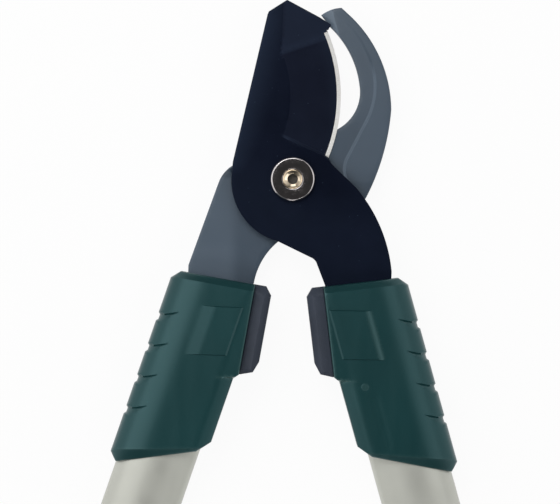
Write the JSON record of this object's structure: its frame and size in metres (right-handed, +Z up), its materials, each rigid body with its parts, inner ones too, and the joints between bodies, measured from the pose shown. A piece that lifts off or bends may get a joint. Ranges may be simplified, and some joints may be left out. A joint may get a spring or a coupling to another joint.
{
  "type": "bypass loppers",
  "caption": "Long-handled bypass loppers: a curved black cutting blade passes a grey hooked jaw on a bolted pivot, with oval tube handles, moulded collars, rubber bumpers and grips.",
  "frame": {"origin": "bottom centre of the box round the tool as it lies flat, jaws part open", "axes": "+Y from the grips to the jaws' tips, along the centre line between the handles; +Z up, along the pivot, from the hooked jaw to the blade; +X to the right seen from above"},
  "size_m": [0.4506, 0.684, 0.0312],
  "materials": {
    "black_steel": "satin black non-stick coating, bare ground edge",
    "grey_steel": "satin slate-grey coating",
    "polished_steel": "polished",
    "steel": "plain zinc",
    "tube_alloy": "satin lacquer",
    "green_plastic": "semi-matte moulded, dark teal green",
    "grey_rubber": "matte",
    "nylon": "plain"
  },
  "bodies": {
    "hook_side": {"hook_jaw": "grey_steel", "pivot_barrel": "steel", "pivot_screw": "polished_steel", "front_disc": "polished_steel", "bearing_washer": "nylon", "rear_washer": "steel", "spring_washer": "steel", "left_tang_insert": "nylon", "left_handle_tube": "tube_alloy", "left_handle_pins": "steel", "left_collar": "green_plastic", "left_bumper": "grey_rubber", "left_grip_core": "green_plastic", "left_grip_sleeve": "grey_rubber", "left_end_cap": "green_plastic"},
    "blade_side": {"cutting_blade": "black_steel", "right_tang_insert": "nylon", "right_handle_tube": "tube_alloy", "right_handle_pins": "steel", "right_collar": "green_plastic", "right_bumper": "grey_rubber", "right_grip_core": "green_plastic", "right_grip_sleeve": "grey_rubber", "right_end_cap": "green_plastic"}
  },
  "joints": [
    {"name": "jaw_pivot", "type": "hinge", "parent": "hook_side", "child": "blade_side", "pos_m": [0, 0.25263, 0.0162], "axis": [0, 0, 1], "range_deg": [-17, 45]}
  ]
}
